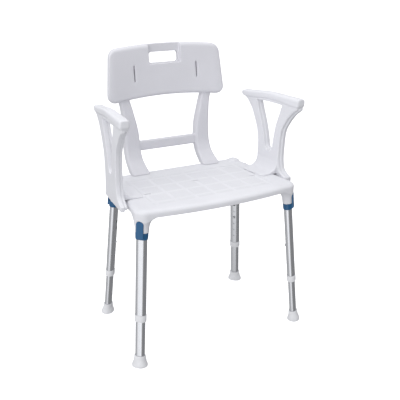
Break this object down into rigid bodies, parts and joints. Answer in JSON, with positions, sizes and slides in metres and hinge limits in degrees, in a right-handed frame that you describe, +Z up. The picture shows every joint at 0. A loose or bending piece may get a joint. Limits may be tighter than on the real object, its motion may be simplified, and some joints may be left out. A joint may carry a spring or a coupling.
{
  "type": "shower chair",
  "caption": "Moulded shower chair on splayed height-adjustable oval aluminium legs, with a lift-off slotted backrest and lift-off armrests.",
  "frame": {"origin": "on the floor, under the middle of the chair's overall width and depth", "axes": "+Z up, +Y towards the back of the chair, +X towards the sitter's left-hand side as seen from the back, which is the viewer's right when the chair is seen from the front"},
  "size_m": [0.6112, 0.4398, 0.891],
  "materials": {
    "seat_plastic": "satin",
    "back_plastic": "satin",
    "arm_plastic": "satin",
    "collar_plastic": "satin",
    "blue_plastic": "satin",
    "anodised_aluminium": "anodised",
    "foot_rubber": "matt",
    "spring_steel": "satin"
  },
  "bodies": {
    "seat_frame": {"seat": "seat_plastic", "leg_tube_front_left": "anodised_aluminium", "leg_tube_front_right": "anodised_aluminium", "leg_tube_rear_left": "anodised_aluminium", "leg_tube_rear_right": "anodised_aluminium", "leg_collar_front_left": "collar_plastic", "leg_collar_front_right": "collar_plastic", "leg_collar_rear_left": "collar_plastic", "leg_collar_rear_right": "collar_plastic"},
    "back": {"backrest": "back_plastic"},
    "arm_left": {"armrest_left": "arm_plastic"},
    "arm_right": {"armrest_right": "arm_plastic"},
    "lower_leg_front_left": {"leg_extension_front_left": "anodised_aluminium", "foot_front_left": "foot_rubber", "button_spring_front_left": "spring_steel"},
    "button_front_left": {"snap_button_front_left": "spring_steel"},
    "clip_front_left": {"leg_clip_front_left": "blue_plastic"},
    "lower_leg_front_right": {"leg_extension_front_right": "anodised_aluminium", "foot_front_right": "foot_rubber", "button_spring_front_right": "spring_steel"},
    "button_front_right": {"snap_button_front_right": "spring_steel"},
    "clip_front_right": {"leg_clip_front_right": "blue_plastic"},
    "lower_leg_rear_left": {"leg_extension_rear_left": "anodised_aluminium", "foot_rear_left": "foot_rubber", "button_spring_rear_left": "spring_steel"},
    "button_rear_left": {"snap_button_rear_left": "spring_steel"},
    "clip_rear_left": {"leg_clip_rear_left": "blue_plastic"},
    "lower_leg_rear_right": {"leg_extension_rear_right": "anodised_aluminium", "foot_rear_right": "foot_rubber", "button_spring_rear_right": "spring_steel"},
    "button_rear_right": {"snap_button_rear_right": "spring_steel"},
    "clip_rear_right": {"leg_clip_rear_right": "blue_plastic"}
  },
  "joints": [
    {"name": "leg_height_front_left", "type": "slide", "parent": "seat_frame", "child": "lower_leg_front_left", "axis": [-0.0739, -0.0558, -0.9957], "range_m": [-0.075, 0.075]},
    {"name": "snap_button_press_front_left", "type": "slide", "parent": "lower_leg_front_left", "child": "button_front_left", "axis": [-0.7033, -0.705, 0.0917], "range_m": [0, 0.0054], "stiffness_N_per_m": 1500, "springref_m": -0.003, "deforming": ["button_spring_front_left"]},
    {"name": "leg_clip_slide_front_left", "type": "slide", "parent": "seat_frame", "child": "clip_front_left", "axis": [-0.0739, -0.0558, -0.9957], "range_m": [0, 0.045]},
    {"name": "leg_height_front_right", "type": "slide", "parent": "seat_frame", "child": "lower_leg_front_right", "axis": [0.0739, -0.0558, -0.9957], "range_m": [-0.075, 0.075]},
    {"name": "snap_button_press_front_right", "type": "slide", "parent": "lower_leg_front_right", "child": "button_front_right", "axis": [0.7033, -0.705, 0.0917], "range_m": [0, 0.0054], "stiffness_N_per_m": 1500, "springref_m": -0.003, "deforming": ["button_spring_front_right"]},
    {"name": "leg_clip_slide_front_right", "type": "slide", "parent": "seat_frame", "child": "clip_front_right", "axis": [0.0739, -0.0558, -0.9957], "range_m": [0, 0.045]},
    {"name": "leg_height_rear_left", "type": "slide", "parent": "seat_frame", "child": "lower_leg_rear_left", "axis": [-0.0726, 0.0923, -0.9931], "range_m": [-0.075, 0.075]},
    {"name": "snap_button_press_rear_left", "type": "slide", "parent": "lower_leg_rear_left", "child": "button_rear_left", "axis": [-0.7034, 0.7011, 0.1166], "range_m": [0, 0.0054], "stiffness_N_per_m": 1500, "springref_m": -0.003, "deforming": ["button_spring_rear_left"]},
    {"name": "leg_clip_slide_rear_left", "type": "slide", "parent": "seat_frame", "child": "clip_rear_left", "axis": [-0.0726, 0.0923, -0.9931], "range_m": [0, 0.045]},
    {"name": "leg_height_rear_right", "type": "slide", "parent": "seat_frame", "child": "lower_leg_rear_right", "axis": [0.0726, 0.0923, -0.9931], "range_m": [-0.075, 0.075]},
    {"name": "snap_button_press_rear_right", "type": "slide", "parent": "lower_leg_rear_right", "child": "button_rear_right", "axis": [0.7034, 0.7011, 0.1166], "range_m": [0, 0.0054], "stiffness_N_per_m": 1500, "springref_m": -0.003, "deforming": ["button_spring_rear_right"]},
    {"name": "leg_clip_slide_rear_right", "type": "slide", "parent": "seat_frame", "child": "clip_rear_right", "axis": [0.0726, 0.0923, -0.9931], "range_m": [0, 0.045]},
    {"name": "backrest_lift_off", "type": "slide", "parent": "seat_frame", "child": "back", "axis": [0, 0, 1], "range_m": [0, 0.08]},
    {"name": "armrest_lift_off_left", "type": "slide", "parent": "seat_frame", "child": "arm_left", "axis": [0, 0, 1], "range_m": [0, 0.08]},
    {"name": "armrest_lift_off_right", "type": "slide", "parent": "seat_frame", "child": "arm_right", "axis": [0, 0, 1], "range_m": [0, 0.08]}
  ]
}
